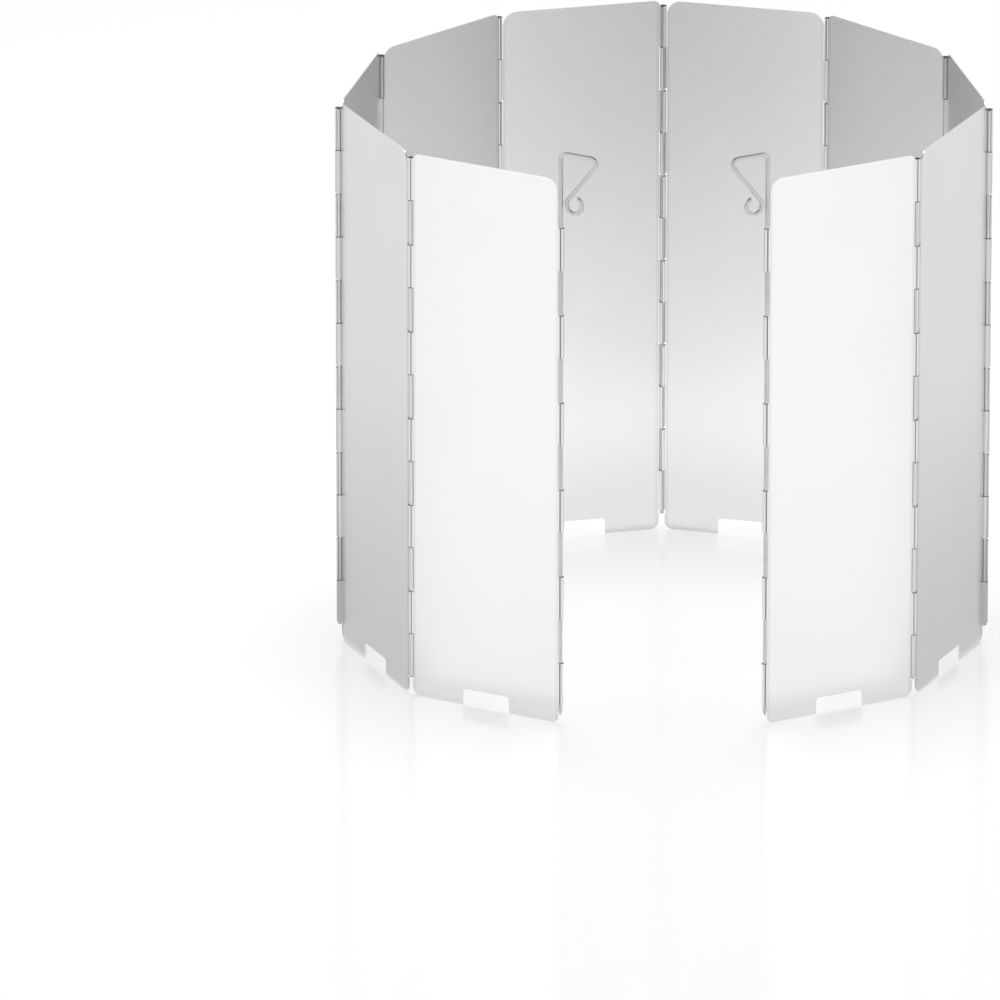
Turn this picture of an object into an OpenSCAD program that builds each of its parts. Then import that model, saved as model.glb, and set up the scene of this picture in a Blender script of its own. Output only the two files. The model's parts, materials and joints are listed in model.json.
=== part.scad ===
// Folding stove windscreen: ten sheet panels hinged on wire pins, standing as an
// open ring, with a sliding ground stake in each free front edge.
// Millimetres, +Z up, the ground at Z = 0, the opening of the ring towards -Y.

/* [Panels] */
// height of every panel
panel_h = 240; // [160:1:320]
// distance along a panel from one hinge line to the next
panel_w = 72; // [55:1:110]
// thickness of the sheet
sheet_t = 0.5; // [0.4:0.05:0.8]
// radius of the open top corners
corner_r = 6; // [2:0.5:8]
// radius of a top corner next to a knuckle and of a lower corner next to a stake
tight_corner_r = 2.5; // [1:0.5:4]
// radius of a lower corner at a hinge line
foot_corner_r = 4; // [2:0.5:5]
// distance from a hinge line to the edge of the sheet below its last knuckle
foot_back = 1; // [0.6:0.1:1.5]
// width of the vent notch in the lower edge
vent_w = 22; // [10:1:40]
// height of the vent notch
vent_h = 7; // [3:0.5:15]
// radius of the two upper corners of the vent notch
vent_r = 1.5; // [0.5:0.25:3]

/* [Hinges] */
// diameter of the wire that the pins and stakes are cut from
wire_d = 1.8; // [1.2:0.1:3]
// radial clearance between wire and knuckle bore
wire_play = 0.05; // [0.01:0.01:0.1]
// knuckle places along one hinge line, shared in turn by the two panels
slot_count = 12; // [8:2:16]
// distance from the top of the panel to the first knuckle place
hinge_top = 1.5; // [1:0.5:6]
// distance from the foot of the panel to the last knuckle place
hinge_foot = 8; // [6:0.5:20]
// gap above each knuckle of the row that holds the top place, where the pin shows
open_gap = 1.2; // [0.3:0.1:2]
// gap below each knuckle of that row
close_gap = 0.3; // [0.2:0.1:1]
// gap between a knuckle and the edge of the facing panel
edge_gap = 0.15; // [0.1:0.05:1.5]
// how far past the hinge axis a rolled knuckle ends, short of its own sheet
curl_end = 0.35; // [0:0.05:1.2]
// gap between neighbouring knuckles on one side of the folded stack
stack_gap = 0.3; // [0.2:0.1:1]
// how far a pin end sits below the top of its highest knuckle
pin_recess = 0.6; // [0.2:0.1:4]
// how far a pin end stands out below its lowest knuckle
pin_stand = 1.2; // [0:0.1:3]
// gap between the foot of a pin and the sheet below it
foot_gap = 0.7; // [0.3:0.1:1]

/* [Ring] */
// bend at the two hinges next to the front panels, in degrees
bend_1 = 37; // [10:1:45]
// bend at the second hinge from each front edge
bend_2 = 37; // [10:1:45]
// bend at the third hinge from each front edge
bend_3 = 32; // [10:1:45]
// bend at the fourth hinge from each front edge
bend_4 = 31; // [10:1:45]
// bend at the hinge in the middle of the back
bend_5 = 29; // [10:1:45]

/* [Stakes] */
// height of the handle's top bar above the panels
stake_rise = 12; // [6:1:30]
// height of the stake's tip above the ground
tip_z = 4; // [0.5:0.5:10]
// length of the stake's pointed tip
tip_l = 2; // [0.5:0.5:6]
// reach of the handle from the stake's axis
handle_w = 16.5; // [12:0.5:30]
// drop from the top bar to the middle of the end loop
handle_drop = 22; // [16:0.5:30]
// radius of the two handle bends
handle_bend_r = 2.5; // [2:0.25:4]
// radius of the end loop
loop_r = 3.6; // [2.5:0.1:5]
// gap between the end loop and the knuckles that it passes
loop_gap = 0.4; // [0.3:0.1:1]
// turn of the wire round the end loop, in degrees
loop_turn = 285; // [180:5:290]
// gap between the end of the shank and the end of the handle
shank_gap = 0.05; // [0.02:0.01:0.1]
// thickness of the band that covers each joint between a straight and a bend of the handle
band_t = 0.02; // [0.01:0.01:0.05]

/* [Hidden] */
$fn = 48;

wire_r = wire_d / 2;
bore_r = wire_r + wire_play;
knuckle_r = bore_r + sheet_t;
// the hinge axis stands this far from the middle of the sheet, so that the folded stack lies flat
axis_off = (2 * knuckle_r + stack_gap) / 4;
edge_back = knuckle_r + edge_gap;
slot_l = (panel_h - hinge_top - hinge_foot) / slot_count;
hinge_top_z = panel_h - hinge_top;
tab_in = 3;
pin_top_z = hinge_top_z - open_gap / 2 - pin_recess;
pin_foot_z = hinge_foot + open_gap / 2 - pin_stand;
foot_z = max(foot_corner_r, pin_foot_z - foot_gap);
bends = [0, bend_1, bend_2, bend_3, bend_4, bend_5];
bar_z = panel_h + stake_rise;
first_stake_knuckle_z = hinge_top_z - slot_l;
shank_top_z = first_stake_knuckle_z - slot_l / 4;
loop_u = knuckle_r + loop_gap + wire_r + loop_r;
bend_u = handle_w - handle_bend_r;
link_u = loop_u - bend_u;
link_z = handle_bend_r - handle_drop;
link_d = norm([link_u, link_z]);
diagonal_turn = 0 - atan2(link_z, link_u) + asin((loop_r + handle_bend_r) / link_d);
diagonal_l = sqrt(link_d * link_d - (loop_r + handle_bend_r) * (loop_r + handle_bend_r));

aluminium = [0.82, 0.83, 0.84];
steel = [0.62, 0.63, 0.65];

// bend of the ring at hinge line j, the same on both sides of the back
function bend(j) = bends[min(j, 10 - j)];
// side of the sheets that hinge line j stands on: 1 outside the ring, -1 inside
function side(j) = j % 2 == 0 ? 1 : -1;
// sum of the bends from hinge line a to hinge line b
function bend_sum(a, b) = a > b ? 0 : bend(a) + bend_sum(a + 1, b);
// heading of panel i, from its first hinge line to its second
function heading(i) = i <= 5 ? bend_5 / 2 + bend_sum(i, 4) : 0 - bend_5 / 2 - bend_sum(6, i - 1);
function turned(v, a) = [v[0] * cos(a) - v[1] * sin(a), v[0] * sin(a) + v[1] * cos(a)];
// way from the first hinge line of panel i to its second
function stride(i) = turned([panel_w, (side(i) - side(i - 1)) * axis_off], heading(i));
// place of hinge line j, counted from the back of the ring
function from_back(j) = j == 5 ? [0, 0] : j > 5 ? from_back(j - 1) + stride(j) : from_back(j + 1) - stride(j + 1);
back_y = knuckle_r;
front_y = from_back(0)[1] - handle_w * sin(heading(1)) - wire_r;
// place of hinge line j, with the ring's outline centred on the origin
function hinge(j) = from_back(j) - [0, (back_y + front_y) / 2];
// does edge e of panel i (0 first, 1 second) carry the top knuckle of its hinge line?
function carries_top(i, e) = (i <= 5 && e == 1) || (i >= 7 && e == 0);

// puts its children in the frame of panel i: x along the sheet, y out of the ring
module on_panel(i) {
    translate(hinge(i - 1))
    rotate(heading(i))
    translate([0, 0 - side(i - 1) * axis_off])
    children();
}

// outline of the flat sheet of panel i in x and z, without its knuckles
module sheet_outline(i) {
    left = edge_back;
    right = panel_w - edge_back;
    foot_left = i > 1 ? foot_back : left;
    foot_right = i < 10 ? panel_w - foot_back : right;
    difference() {
        union() {
            translate([left, 0])
            square([right - left, panel_h]);
            translate([foot_left, 0])
            square([foot_right - foot_left, foot_z]);
        }
        corner_cut(left, panel_h, 1, -1, carries_top(i, 0) ? tight_corner_r : corner_r);
        corner_cut(right, panel_h, -1, -1, carries_top(i, 1) ? tight_corner_r : corner_r);
        corner_cut(foot_left, 0, 1, 1, i > 1 ? foot_corner_r : tight_corner_r);
        corner_cut(foot_right, 0, -1, 1, i < 10 ? foot_corner_r : tight_corner_r);
        translate([panel_w / 2, 0])
        vent_outline();
    }
}

// what a rounded corner takes off the sheet; x and z lead from the corner into the sheet
module corner_cut(corner_x, corner_z, x, z, r) {
    translate([corner_x, corner_z])
    mirror([x > 0 ? 0 : 1, 0])
    mirror([0, z > 0 ? 0 : 1])
    difference() {
        translate([-1, -1])
        square(r + 1);
        translate([r, r])
        circle(r);
    }
}

// the vent notch, centred on x = 0
module vent_outline() {
    translate([0 - vent_w / 2, -1])
    square([vent_w, vent_h + 1 - vent_r]);
    translate([vent_r - vent_w / 2, -1])
    square([vent_w - 2 * vent_r, vent_h + 1]);
    for (x = [vent_r - vent_w / 2, vent_w / 2 - vent_r])
        translate([x, vent_h - vent_r])
        circle(vent_r);
}

// section of a rolled knuckle with its axis at the origin and its sheet towards +x
module knuckle_section() {
    sheet_face = sheet_t / 2 - axis_off;
    difference() {
        union() {
            circle(knuckle_r);
            translate([0, sheet_face - sheet_t])
            square([edge_back + tab_in, sheet_t]);
        }
        circle(bore_r);
        translate([0, sheet_face])
        square([2 * knuckle_r, 0 - sheet_face]);
        translate([curl_end, 0])
        square(2 * knuckle_r);
    }
}

// the knuckles of one edge, on every second place of the hinge line
module knuckle_row(top) {
    gap_below = top ? close_gap : open_gap;
    for (s = [top ? 0 : 1 : 2 : slot_count - 1])
        translate([0, 0, hinge_top_z - (s + 1) * slot_l + gap_below / 2])
        linear_extrude(slot_l - (open_gap + close_gap) / 2)
        knuckle_section();
}

// one panel: the flat sheet and the knuckles rolled from both upright edges
module panel(i) {
    color(aluminium)
    on_panel(i)
    union() {
        translate([0, sheet_t / 2, 0])
        rotate([90, 0, 0])
        linear_extrude(sheet_t)
        sheet_outline(i);
        translate([0, side(i - 1) * axis_off])
        mirror([0, side(i - 1) > 0 ? 0 : 1, 0])
        knuckle_row(carries_top(i, 0));
        translate([panel_w, side(i) * axis_off])
        mirror([0, side(i) > 0 ? 0 : 1, 0])
        mirror([1, 0, 0])
        knuckle_row(carries_top(i, 1));
    }
}

// a straight wire pin in hinge line j
module hinge_pin(j) {
    color(steel)
    translate([hinge(j)[0], hinge(j)[1], pin_foot_z])
    cylinder(h = pin_top_z - pin_foot_z, r = wire_r);
}

// the straight, pointed part of a stake on its own axis
module stake_shank() {
    color(steel)
    translate([0, 0, tip_z])
    union() {
        cylinder(h = tip_l, r1 = wire_r / 3, r2 = wire_r);
        translate([0, 0, tip_l])
        cylinder(h = shank_top_z - tip_z - tip_l, r = wire_r);
    }
}

// a bend of the wire about z, from its start at angle a through turn
module wire_bend(r, a, turn) {
    rotate(a)
    rotate_extrude(angle = turn)
    translate([r, 0])
    circle(wire_r);
}

// a thin band round the wire, along z, where a straight meets a bend
module wire_band() {
    cylinder(h = 10 * band_t, r = wire_r + band_t, center = true);
}

// the handle of a stake in the x-z plane, reaching towards +x
module stake_handle() {
    leg_z = shank_top_z + shank_gap;
    color(steel)
    union() {
        translate([0, 0, leg_z])
        cylinder(h = bar_z - handle_bend_r - leg_z, r = wire_r);
        translate([0, 0, bar_z - handle_bend_r])
        wire_band();
        translate([0, 0, bar_z])
        rotate([90, 0, 0]) {
            translate([handle_bend_r, 0 - handle_bend_r])
            wire_bend(handle_bend_r, 90, 90);
            translate([handle_bend_r, 0, 0])
            rotate([0, 90, 0]) {
                wire_band();
                cylinder(h = bend_u - handle_bend_r, r = wire_r);
                translate([0, 0, bend_u - handle_bend_r])
                wire_band();
            }
            translate([bend_u, 0 - handle_bend_r])
            wire_bend(handle_bend_r, 90 - diagonal_turn, diagonal_turn);
            translate([bend_u, 0 - handle_bend_r])
            rotate(90 - diagonal_turn)
            translate([handle_bend_r, 0, 0])
            rotate([90, 0, 0]) {
                wire_band();
                cylinder(h = diagonal_l, r = wire_r);
                translate([0, 0, diagonal_l])
                wire_band();
            }
            translate([loop_u, 0 - handle_drop])
            wire_bend(loop_r, 270 - diagonal_turn, loop_turn);
        }
    }
}

// puts its children on the stake axis of the left or right free edge, with +x away from the panel
module on_left_edge() {
    translate(hinge(0))
    rotate(heading(1) + 180)
    children();
}

module on_right_edge() {
    translate(hinge(10))
    rotate(heading(10))
    children();
}

module panel_1() { panel(1); }
module panel_2() { panel(2); }
module panel_3() { panel(3); }
module panel_4() { panel(4); }
module panel_5() { panel(5); }
module panel_6() { panel(6); }
module panel_7() { panel(7); }
module panel_8() { panel(8); }
module panel_9() { panel(9); }
module panel_10() { panel(10); }
module hinge_pin_1() { hinge_pin(1); }
module hinge_pin_2() { hinge_pin(2); }
module hinge_pin_3() { hinge_pin(3); }
module hinge_pin_4() { hinge_pin(4); }
module hinge_pin_5() { hinge_pin(5); }
module hinge_pin_6() { hinge_pin(6); }
module hinge_pin_7() { hinge_pin(7); }
module hinge_pin_8() { hinge_pin(8); }
module hinge_pin_9() { hinge_pin(9); }
module stake_shank_left() { on_left_edge() stake_shank(); }
module stake_shank_right() { on_right_edge() stake_shank(); }
module stake_handle_left() { on_left_edge() stake_handle(); }
module stake_handle_right() { on_right_edge() stake_handle(); }

panel_1();
panel_2();
panel_3();
panel_4();
panel_5();
panel_6();
panel_7();
panel_8();
panel_9();
panel_10();
hinge_pin_1();
hinge_pin_2();
hinge_pin_3();
hinge_pin_4();
hinge_pin_5();
hinge_pin_6();
hinge_pin_7();
hinge_pin_8();
hinge_pin_9();
stake_shank_left();
stake_shank_right();
stake_handle_left();
stake_handle_right();
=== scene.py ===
import json
import math
import bpy
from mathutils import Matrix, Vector


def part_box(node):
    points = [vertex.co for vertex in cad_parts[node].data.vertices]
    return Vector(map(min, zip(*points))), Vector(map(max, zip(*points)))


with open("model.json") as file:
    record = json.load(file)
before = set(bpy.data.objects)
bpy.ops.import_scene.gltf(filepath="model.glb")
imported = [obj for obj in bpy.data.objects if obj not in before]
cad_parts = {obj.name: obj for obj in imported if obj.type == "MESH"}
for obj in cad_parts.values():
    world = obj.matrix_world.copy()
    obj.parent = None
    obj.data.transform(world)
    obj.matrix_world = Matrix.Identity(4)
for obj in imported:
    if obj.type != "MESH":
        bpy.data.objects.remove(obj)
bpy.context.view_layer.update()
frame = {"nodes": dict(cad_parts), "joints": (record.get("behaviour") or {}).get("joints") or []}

scene = bpy.context.scene
nodes = frame["nodes"]
joints = {j["name"]: j for j in frame["joints"]}

# Camera: a long lens, so that upright edges stay parallel as in the photograph
CAMERA_PLACE = (-0.01777, -6.60490, 2.43848)
CAMERA_YAW = 0.00774
CAMERA_PITCH = 0.34597
CAMERA_CLIP = (0.1, 60.0)
FOCAL_PIXELS = 16557.4
IMAGE_PIXELS = 1000
SENSOR_MM = 36.0

cam = bpy.data.cameras.new("camera")
cam.sensor_width = SENSOR_MM
cam.lens = FOCAL_PIXELS / IMAGE_PIXELS * SENSOR_MM
cam.clip_start, cam.clip_end = CAMERA_CLIP
camera = bpy.data.objects.new("camera", cam)
camera.location = CAMERA_PLACE
camera.rotation_euler = (math.pi / 2 - CAMERA_PITCH, 0.0, CAMERA_YAW)
scene.collection.objects.link(camera)
scene.camera = camera
scene.view_settings.view_transform = "Standard"


class Nodes:
    """A short way to build a node tree."""

    def __init__(self, tree):
        self.tree = tree
        tree.nodes.clear()

    def add(self, kind, **settings):
        node = self.tree.nodes.new(kind)
        for key, value in settings.items():
            setattr(node, key, value)
        return node

    def link(self, source, target):
        self.tree.links.new(source, target)

    def feed(self, value, socket):
        """Set a number or a colour on a socket, or link an output to it."""
        if isinstance(value, (int, float)):
            socket.default_value = value
        elif isinstance(value, tuple):
            socket.default_value = (*value, 1.0)
        else:
            self.link(value, socket)

    def math(self, operation, a, b=None, clamp=False):
        node = self.add("ShaderNodeMath", operation=operation, use_clamp=clamp)
        self.feed(a, node.inputs[0])
        if b is not None:
            self.feed(b, node.inputs[1])
        return node.outputs[0]

    def ramp(self, value, from_min, from_max, to_min, to_max, smooth=False):
        node = self.add("ShaderNodeMapRange")
        node.interpolation_type = "SMOOTHSTEP" if smooth else "LINEAR"
        node.inputs["From Min"].default_value = from_min
        node.inputs["From Max"].default_value = from_max
        node.inputs["To Min"].default_value = to_min
        node.inputs["To Max"].default_value = to_max
        self.link(value, node.inputs["Value"])
        return node.outputs["Result"]

    def noise(self, vector, scale, detail, roughness):
        node = self.add("ShaderNodeTexNoise")
        node.inputs["Scale"].default_value = scale
        node.inputs["Detail"].default_value = detail
        node.inputs["Roughness"].default_value = roughness
        self.link(vector, node.inputs["Vector"])
        return node.outputs["Fac"]

    def mapped(self, vector, location=(0, 0, 0), rotation=(0, 0, 0), scale=(1, 1, 1)):
        node = self.add("ShaderNodeMapping")
        node.inputs["Location"].default_value = location
        node.inputs["Rotation"].default_value = rotation
        node.inputs["Scale"].default_value = scale
        self.link(vector, node.inputs["Vector"])
        return node.outputs["Vector"]

    def mix(self, factor, a, b):
        """Mix two colours, which a Mix node has on inputs 6 and 7 and on output 2."""
        node = self.add("ShaderNodeMix", data_type="RGBA")
        self.feed(factor, node.inputs[0])
        self.feed(a, node.inputs[6])
        self.feed(b, node.inputs[7])
        return node.outputs[2]


def new_material(name):
    material = bpy.data.materials.new(name)
    material.use_nodes = True
    return material, Nodes(material.node_tree)


def metal_shader(n):
    out = n.add("ShaderNodeOutputMaterial")
    shader = n.add("ShaderNodeBsdfPrincipled")
    shader.inputs["Metallic"].default_value = 1.0
    n.link(shader.outputs[0], out.inputs["Surface"])
    return shader


BUMP_DEPTH = 0.0001


def add_bump(n, shader, height, strength):
    bump = n.add("ShaderNodeBump")
    bump.inputs["Strength"].default_value = strength
    bump.inputs["Distance"].default_value = BUMP_DEPTH
    n.link(height, bump.inputs["Height"])
    n.link(bump.outputs["Normal"], shader.inputs["Normal"])


# Colours of the sheet: its own tones, a painted highlight for the cut edges, and painted shade
# and painted dark reflection lines for the knuckles
SHEET = (0.922, 0.923, 0.925)
SHEET_WORN = (0.907, 0.908, 0.910)
SHEET_EDGE_HIGHLIGHT = (0.93, 0.93, 0.935)
SHEET_PAINTED_DARK = (0.20, 0.20, 0.203)
SHEET_KNUCKLE_SHADE = (0.66, 0.663, 0.667)

# Where the sheet's gloss, painted highlight and painted shade change, in metres from its upper
# and lower edges
PANEL_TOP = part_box("panel_5")[1][2]
RIM_FULL, RIM_NONE = 0.0002, 0.0009
# in metres from a hinge line
KNUCKLE_R = 0.00145
KNUCKLE_END = (KNUCKLE_R + 0.00002, KNUCKLE_R + 0.0001)
CREASE_START = (KNUCKLE_R + 0.00006, KNUCKLE_R + 0.00016)
CREASE_END = (0.0019, 0.0034)
BORE_END = (0.00100, 0.00116)
# in metres from the plane through the panel's two hinge lines
CROWN_START = (0.00115, 0.00125)
# in metres from the middle of a painted dark reflection line
REFLECTION_LINE_END = (0.00022, 0.00031)
# in the upright part of the surface's normal, which tells a knuckle's cut ends
LEVEL_NORMAL = (0.6, 0.8)

# Strengths of the sheet's painted highlight and painted shade
RIM_SHARE = 0.8
CREASE_SHARE = 0.15
PAINTED_SHADE_LOW = 0.80

# Scales of the sheet's noises, and the ranges of them that are used
SEED_STEP = (0.37, 0.53)
GRAIN_SCALE = (1100, 1100, 9)
CLOUD_SCALE = 16.0
SMEAR_SCALE = (60, 60, 14)
SMEAR_TURN = 0.5
BLOTCH_RANGE = (0.35, 0.75)
SMEAR_RANGE = (0.35, 0.75)
MIDDLE_RANGE = (0.3, 0.7)

# Gloss of the sheet
GRAIN_ROUGHNESS = (0.285, 0.305)
SMEAR_ROUGHNESS = (-0.006, 0.012)
RUBBED_SMOOTHER = 0.10
GRAIN_BUMP = 0.010


def sheet_metal(name, start, end, seed, reflection_lines, knuckle_shades, shift):
    """Satin rolled sheet: faint upright grain, handling marks, a painted highlight on the cut
    edges, painted shade and painted dark reflection lines on the hinges.

    start and end are points on the panel's two hinge lines. The two tuples after seed say, for
    the knuckles of the first and of the second edge, how dark the painted reflection line along
    the crown is and how dark the painted shade all round the knuckle is; shift says how far the
    line lies beside the crown.
    """
    material, n = new_material(name)
    shader = metal_shader(n)
    turn = math.atan2(end[1] - start[1], end[0] - start[0])
    length = math.hypot(end[0] - start[0], end[1] - start[1])
    c, s = math.cos(turn), math.sin(turn)
    where = n.add("ShaderNodeTexCoord").outputs["Object"]
    origin = (-c * start[0] - s * start[1], s * start[0] - c * start[1], 0.0)
    local = n.mapped(where, location=origin, rotation=(0, 0, -turn))
    split = n.add("ShaderNodeSeparateXYZ")
    n.link(local, split.inputs[0])
    x, y, z = split.outputs

    def from_axis(along):
        across = n.math("POWER", n.math("SUBTRACT", x, along), 2.0)
        return n.math("SQRT", n.math("ADD", across, n.math("POWER", y, 2.0)))

    axis = n.math("MINIMUM", from_axis(0.0), from_axis(length))
    moved = n.mapped(local, location=(seed * SEED_STEP[0], 0.0, seed * SEED_STEP[1]))
    grain = n.noise(n.mapped(moved, scale=GRAIN_SCALE), 1.0, detail=3.0, roughness=0.6)
    cloud = n.noise(moved, CLOUD_SCALE, detail=3.0, roughness=0.5)
    smeared = n.mapped(moved, rotation=(0, SMEAR_TURN, 0), scale=SMEAR_SCALE)
    smear = n.noise(smeared, 1.0, detail=4.0, roughness=0.6)
    colour = n.mix(n.ramp(cloud, *BLOTCH_RANGE, 0.0, 1.0, smooth=True), SHEET, SHEET_WORN)
    # painted highlight along the upper and lower cut edges
    upper = n.ramp(z, PANEL_TOP - RIM_NONE, PANEL_TOP - RIM_FULL, 0.0, 1.0, smooth=True)
    lower = n.ramp(z, RIM_FULL, RIM_NONE, 1.0, 0.0, smooth=True)
    rim = n.math("MULTIPLY", n.math("MAXIMUM", upper, lower), RIM_SHARE)
    colour = n.mix(rim, colour, SHEET_EDGE_HIGHLIGHT)
    # painted shade all round the knuckles, stronger at some hinge lines than at others
    for along, strength in ((0.0, knuckle_shades[0]), (length, knuckle_shades[1])):
        rolled = n.ramp(from_axis(along), *KNUCKLE_END, strength, 0.0)
        colour = n.mix(rolled, colour, SHEET_KNUCKLE_SHADE)
    # painted shade in the creases beside the rolled knuckles, inside them and on their ends
    crease = n.math("MULTIPLY", n.ramp(axis, *CREASE_START, 0.0, 1.0),
                    n.ramp(axis, *CREASE_END, 1.0, 0.0, smooth=True))
    inside = n.ramp(axis, *BORE_END, 1.0, 0.0)
    normal = n.add("ShaderNodeSeparateXYZ")
    n.link(n.add("ShaderNodeNewGeometry").outputs["Normal"], normal.inputs[0])
    level = n.ramp(n.math("ABSOLUTE", normal.outputs[2]), *LEVEL_NORMAL, 0.0, 1.0)
    knuckle_end = n.math("MULTIPLY", n.ramp(axis, *CREASE_START, 1.0, 0.0), level)
    painted_dark = n.math("MAXIMUM", n.math("MULTIPLY", crease, CREASE_SHARE), inside)
    painted_dark = n.math("MULTIPLY", painted_dark, n.ramp(smear, *MIDDLE_RANGE, PAINTED_SHADE_LOW, 1.0))
    painted_dark = n.math("MAXIMUM", painted_dark, knuckle_end)
    # a painted dark reflection line along the crown of a knuckle
    crown = n.ramp(n.math("ABSOLUTE", y), *CROWN_START, 0.0, 1.0)
    for middle, strength in ((shift, reflection_lines[0]), (length + shift, reflection_lines[1])):
        beside = n.math("ABSOLUTE", n.math("SUBTRACT", x, middle))
        line = n.ramp(beside, *REFLECTION_LINE_END, strength, 0.0)
        painted_dark = n.math("MAXIMUM", painted_dark, n.math("MULTIPLY", line, crown))
    # mix in the painted shade and the painted dark reflection lines
    colour = n.mix(painted_dark, colour, SHEET_PAINTED_DARK)
    n.link(colour, shader.inputs["Base Color"])
    # gloss: satin with grain, rubbed smoother on the knuckles and edges, duller under smears
    knuckle = n.ramp(axis, *KNUCKLE_END, 1.0, 0.0)
    rough = n.math("ADD", n.ramp(grain, *MIDDLE_RANGE, *GRAIN_ROUGHNESS),
                   n.ramp(smear, *SMEAR_RANGE, *SMEAR_ROUGHNESS))
    rubbed = n.math("MULTIPLY", n.math("MAXIMUM", knuckle, rim), RUBBED_SMOOTHER)
    n.link(n.math("SUBTRACT", rough, rubbed), shader.inputs["Roughness"])
    add_bump(n, shader, grain, GRAIN_BUMP)
    return material


WIRE_LINES_SCALE = (1500, 1500, 40)
WIRE_PATCH_SCALE = 90.0
WIRE_PATCH_RANGE = (0.35, 0.7)
WIRE_PATCH_ROUGHNESS = (-0.02, 0.03)
WIRE_BUMP = 0.05


def drawn_wire(name, colour, worn, roughness):
    """Drawn steel wire: fine upright lines, patches of dull and bright."""
    material, n = new_material(name)
    shader = metal_shader(n)
    where = n.add("ShaderNodeTexCoord").outputs["Object"]
    lines = n.noise(n.mapped(where, scale=WIRE_LINES_SCALE), 1.0, detail=3.0, roughness=0.6)
    patch = n.noise(where, WIRE_PATCH_SCALE, detail=3.0, roughness=0.55)
    dull = n.ramp(patch, *WIRE_PATCH_RANGE, 0.0, 1.0, smooth=True)
    n.link(n.mix(dull, colour, worn), shader.inputs["Base Color"])
    rough = n.math("ADD", n.ramp(lines, *MIDDLE_RANGE, *roughness),
                   n.ramp(patch, *MIDDLE_RANGE, *WIRE_PATCH_ROUGHNESS))
    n.link(rough, shader.inputs["Roughness"])
    add_bump(n, shader, lines, WIRE_BUMP)
    return material


def set_material(node, material):
    mesh = nodes[node].data
    mesh.materials.clear()
    mesh.materials.append(material)
    for polygon in mesh.polygons:
        polygon.material_index = 0


# The lines that the knuckles are rolled round, from the left free edge to the right one
PANELS = 10
hinge_lines = [joints["handle_swivel_left"]["pos_m"]]
hinge_lines += [joints[f"fold_{j}"]["pos_m"] for j in range(1, PANELS)]
hinge_lines += [joints["handle_swivel_right"]["pos_m"]]

# Each wire's colour, its colour where worn, and its range of roughness
PIN_FINISH = ((0.66, 0.663, 0.668), (0.60, 0.603, 0.608), (0.20, 0.28))
STAKE_FINISH = ((0.64, 0.643, 0.648), (0.58, 0.583, 0.588), (0.18, 0.24))
pin_wire = drawn_wire("pin_wire", *PIN_FINISH)
stake_wire = drawn_wire("stake_wire", *STAKE_FINISH)

# How dark the painted reflection lines and the painted shade on the knuckles are, from the panel
# at the doorway to
# the one at the middle of the back: FRONT on the edge towards the doorway, BACK on the other
FRONT_REFLECTION_LINES = (0.95, 0.1, 0.1, 0.7, 0.35)
BACK_REFLECTION_LINES = (0.8, 0.1, 0.2, 0.8, 0.95)
FRONT_KNUCKLE_SHADES = (0.3, 0.9, 0.9, 0.0, 0.0)
BACK_KNUCKLE_SHADES = (0.3, 0.3, 0.0, 0.0, 0.0)
CROWN_SHIFT = 0.0005

for i in range(1, PANELS + 1):
    place = min(i, PANELS + 1 - i) - 1
    reflection_lines = (FRONT_REFLECTION_LINES[place], BACK_REFLECTION_LINES[place])
    knuckle_shades = (FRONT_KNUCKLE_SHADES[place], BACK_KNUCKLE_SHADES[place])
    shift = -CROWN_SHIFT
    if i > PANELS // 2:
        reflection_lines, knuckle_shades, shift = reflection_lines[::-1], knuckle_shades[::-1], CROWN_SHIFT
    material = sheet_metal(f"sheet_{i}", hinge_lines[i - 1], hinge_lines[i], i,
                           reflection_lines, knuckle_shades, shift)
    set_material(f"panel_{i}", material)
for node in nodes:
    if node.startswith("hinge_pin"):
        set_material(node, pin_wire)
    elif node.startswith("stake"):
        set_material(node, stake_wire)

# Floor: white and slightly glossy, so that the panels mirror faintly in it
FLOOR_SIZE = 8.0
FLOOR_HEIGHT = -0.0002
FLOOR_COLOUR = (0.82, 0.82, 0.82, 1.0)
FLOOR_ROUGHNESS = 0.14
FLOOR_IOR = 1.9
FLOOR_GLOW_SEEN = 0.34
FLOOR_GLOW_MIRRORED = 0.20

bpy.ops.mesh.primitive_plane_add(size=FLOOR_SIZE, location=(0, 0, FLOOR_HEIGHT))
floor = bpy.context.object
floor.name = "floor"
material, n = new_material("floor")
out = n.add("ShaderNodeOutputMaterial")
surface = n.add("ShaderNodeBsdfPrincipled")
surface.inputs["Base Color"].default_value = FLOOR_COLOUR
surface.inputs["Roughness"].default_value = FLOOR_ROUGHNESS
surface.inputs["IOR"].default_value = FLOOR_IOR
glow = n.add("ShaderNodeEmission")
path = n.add("ShaderNodeLightPath")
mirrored = n.math("ADD", path.outputs["Is Glossy Ray"], path.outputs["Is Transmission Ray"])
n.link(n.math("ADD", n.math("MULTIPLY", path.outputs["Is Camera Ray"], FLOOR_GLOW_SEEN),
              n.math("MULTIPLY", mirrored, FLOOR_GLOW_MIRRORED)), glow.inputs["Strength"])
both = n.add("ShaderNodeAddShader")
n.link(surface.outputs[0], both.inputs[0])
n.link(glow.outputs[0], both.inputs[1])
n.link(both.outputs[0], out.inputs["Surface"])
floor.data.materials.append(material)

# World: white where it is seen, directly or in metal, and soft light elsewhere
WORLD_LIGHT = 0.55
WORLD_SEEN = 1.0

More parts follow.
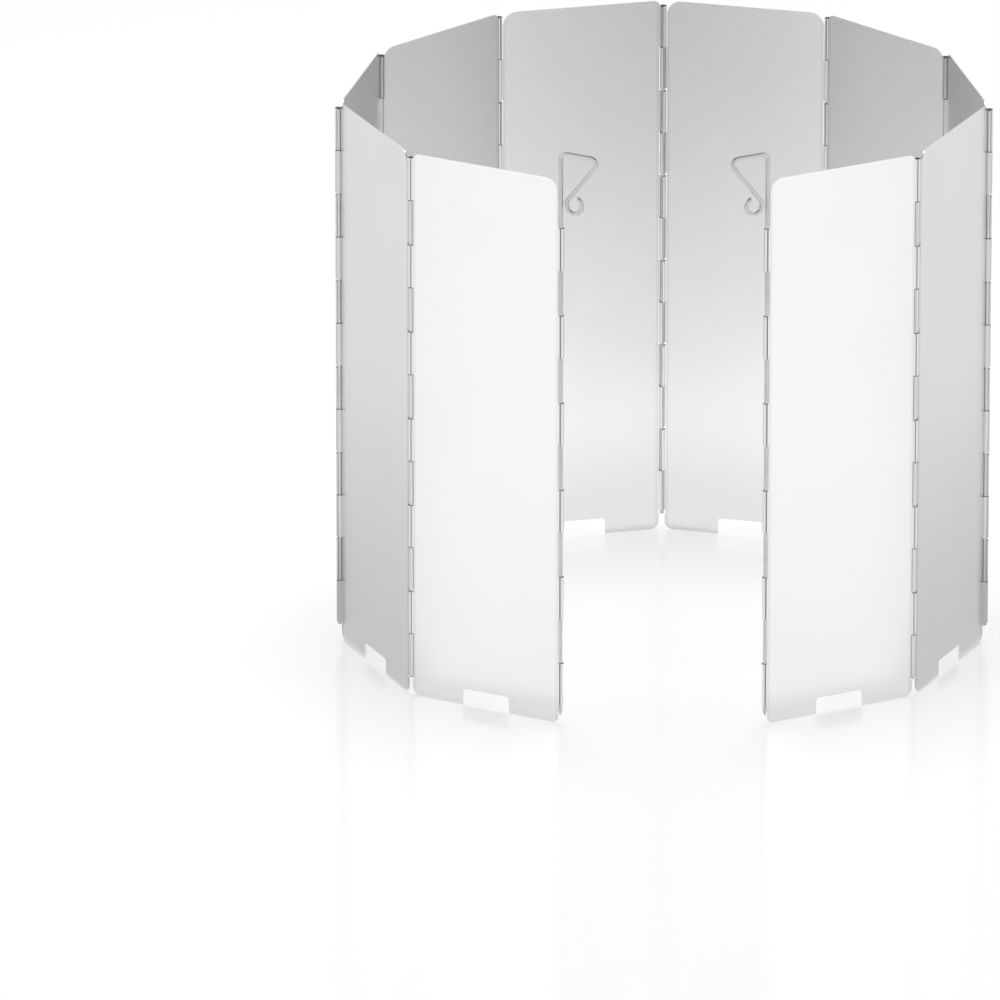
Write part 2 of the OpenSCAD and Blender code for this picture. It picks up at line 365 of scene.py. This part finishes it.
world = bpy.data.worlds.new("world")
scene.world = world
world.use_nodes = True
n = Nodes(world.node_tree)
out = n.add("ShaderNodeOutputWorld")
sky = n.add("ShaderNodeBackground")
path = n.add("ShaderNodeLightPath")
seen = n.math("ADD", path.outputs["Is Camera Ray"], path.outputs["Is Glossy Ray"])
seen = n.math("ADD", seen, path.outputs["Is Transmission Ray"], clamp=True)
n.link(n.ramp(seen, 0.0, 1.0, WORLD_LIGHT, WORLD_SEEN), sky.inputs["Strength"])
n.link(sky.outputs[0], out.inputs["Surface"])

# Key light: one soft box overhead, turned to the middle of the ring's foot
KEY_PLACE = Vector((0.0, 0.15, 2.0))
KEY_TARGET = Vector((0.0, 0.0, 0.0))
KEY_SIZE = 1.0
KEY_POWER = 16.0

lamp = bpy.data.lights.new("key", "AREA")
lamp.shape = "RECTANGLE"
lamp.size = lamp.size_y = KEY_SIZE
lamp.energy = KEY_POWER
key = bpy.data.objects.new("key", lamp)
key.location = KEY_PLACE
key.rotation_euler = (KEY_TARGET - KEY_PLACE).to_track_quat("-Z", "Y").to_euler()
scene.collection.objects.link(key)

# Boards above, beside and inside the object, seen only in reflections and from their fronts
BOARD_CELLS = 24
FLOOR_TONE = 1.0
FADE_FAR = 0.4
FADE_SIDES = 0.35

board_material, n = new_material("board")
out = n.add("ShaderNodeOutputMaterial")
glow = n.add("ShaderNodeEmission")
tone_read = n.add("ShaderNodeAttribute", attribute_name="tone")
n.link(tone_read.outputs["Fac"], glow.inputs["Strength"])
clear = n.add("ShaderNodeBsdfTransparent")
sides = n.add("ShaderNodeMixShader")
n.link(n.add("ShaderNodeNewGeometry").outputs["Backfacing"], sides.inputs[0])
n.link(glow.outputs[0], sides.inputs[1])
n.link(clear.outputs[0], sides.inputs[2])
n.link(sides.outputs[0], out.inputs["Surface"])


def ease(value):
    value = min(max(value, 0.0), 1.0)
    return value * value * (3.0 - 2.0 * value)


def board(name, corners, turned, tone, soft=False):
    """A board of four corners; tone gives its brightness at a point, and turned flips its front.

    A soft board keeps a plain edge between its first two corners, and fades into the floor's
    tone at the others.
    """
    near_a, near_b, far_b, far_a = (Vector(corner) for corner in corners)
    count = BOARD_CELLS + 1
    places, tones, faces = [], [], []
    for row in range(count):
        t = row / BOARD_CELLS
        for column in range(count):
            s = column / BOARD_CELLS
            place = near_a.lerp(near_b, s).lerp(far_a.lerp(far_b, s), t)
            own = 1.0
            if soft and t > 0:
                own = ease((1.0 - t) / FADE_FAR) * ease(min(s, 1.0 - s) / (FADE_SIDES * t))
            places.append(place)
            tones.append(FLOOR_TONE + (tone(place) - FLOOR_TONE) * own)
    for row in range(BOARD_CELLS):
        for column in range(BOARD_CELLS):
            first = row * count + column
            face = (first, first + 1, first + count + 1, first + count)
            faces.append(face[::-1] if turned else face)
    mesh = bpy.data.meshes.new(name)
    mesh.from_pydata(places, [], faces)
    mesh.attributes.new("tone", "FLOAT", "POINT").data.foreach_set("value", tones)
    piece = bpy.data.objects.new(name, mesh)
    scene.collection.objects.link(piece)
    mesh.materials.append(board_material)
    piece.visible_camera = False
    piece.visible_diffuse = False
    piece.visible_transmission = False
    piece.visible_shadow = False


# Corners on the right, which the left mirrors: dark, above the handle; grey, outside the
# second panel from the doorway; white, outside the first
OVER_CORNERS = ((-0.020, -0.230, 0.380), (-0.020, -0.040, 0.380),
                (0.130, -0.040, 0.380), (0.130, -0.230, 0.380))
GREY_CORNERS = ((0.1066, -0.0808, 0.0003), (0.1502, 0.0093, 0.0003),
                (0.3770, 0.4000, 0.270), (0.5430, 0.0350, 0.270))
WHITE_CORNERS = ((0.050, -0.135, 0.001), (0.115, -0.098, 0.001),
                 (0.480, -0.270, 0.270), (0.330, -0.460, 0.270))
# Pale, on the floor inside the ring
INNER_CORNERS = {
    "front": ((-0.0400, -0.1080, 0.0003), (0.0400, -0.1080, 0.0003),
              (0.1240, -0.0120, 0.0003), (-0.1240, -0.0120, 0.0003)),
    "left": ((-0.1240, -0.0120, 0.0003), (0.0000, -0.0120, 0.0003),
             (0.0000, 0.1195, 0.0003), (-0.0675, 0.1035, 0.0003)),
    "right": ((0.0000, -0.0120, 0.0003), (0.1240, -0.0120, 0.0003),
              (0.0675, 0.1035, 0.0003), (0.0000, 0.1195, 0.0003)),
}

# Tones, and how far they change up a board or towards the back: darker near the floor and
# towards the back, as painted shade of the floor near the object
OVER_TONE = 0.12
GREY_TONE, GREY_RISE = 0.60, 0.18
WHITE_TONE, WHITE_RISE = 0.97, 0.08
RISE_HEIGHT = 0.1
INNER_TONE, INNER_FALL = 1.17, 0.30
INNER_FALL_START, INNER_FALL_DEPTH = -0.03, 0.10


def over_tone(place):
    return OVER_TONE


def grey_tone(place):
    return GREY_TONE + GREY_RISE * ease(place.z / RISE_HEIGHT)


def white_tone(place):
    return WHITE_TONE + WHITE_RISE * ease(place.z / RISE_HEIGHT)


def inner_tone(place):
    return INNER_TONE - INNER_FALL * ease((place.y - INNER_FALL_START) / INNER_FALL_DEPTH)


def on_side(corners, side):
    return [(x * side, y, z) for x, y, z in corners]


for side, name in ((-1, "left"), (1, "right")):
    board("board_over_" + name, on_side(OVER_CORNERS, side), side < 0, over_tone)
    board("board_back_" + name, on_side(GREY_CORNERS, side), side > 0, grey_tone, soft=True)
    board("board_side_" + name, on_side(WHITE_CORNERS, side), side > 0, white_tone, soft=True)
for name, corners in INNER_CORNERS.items():
    board("board_inner_" + name, corners, False, inner_tone)
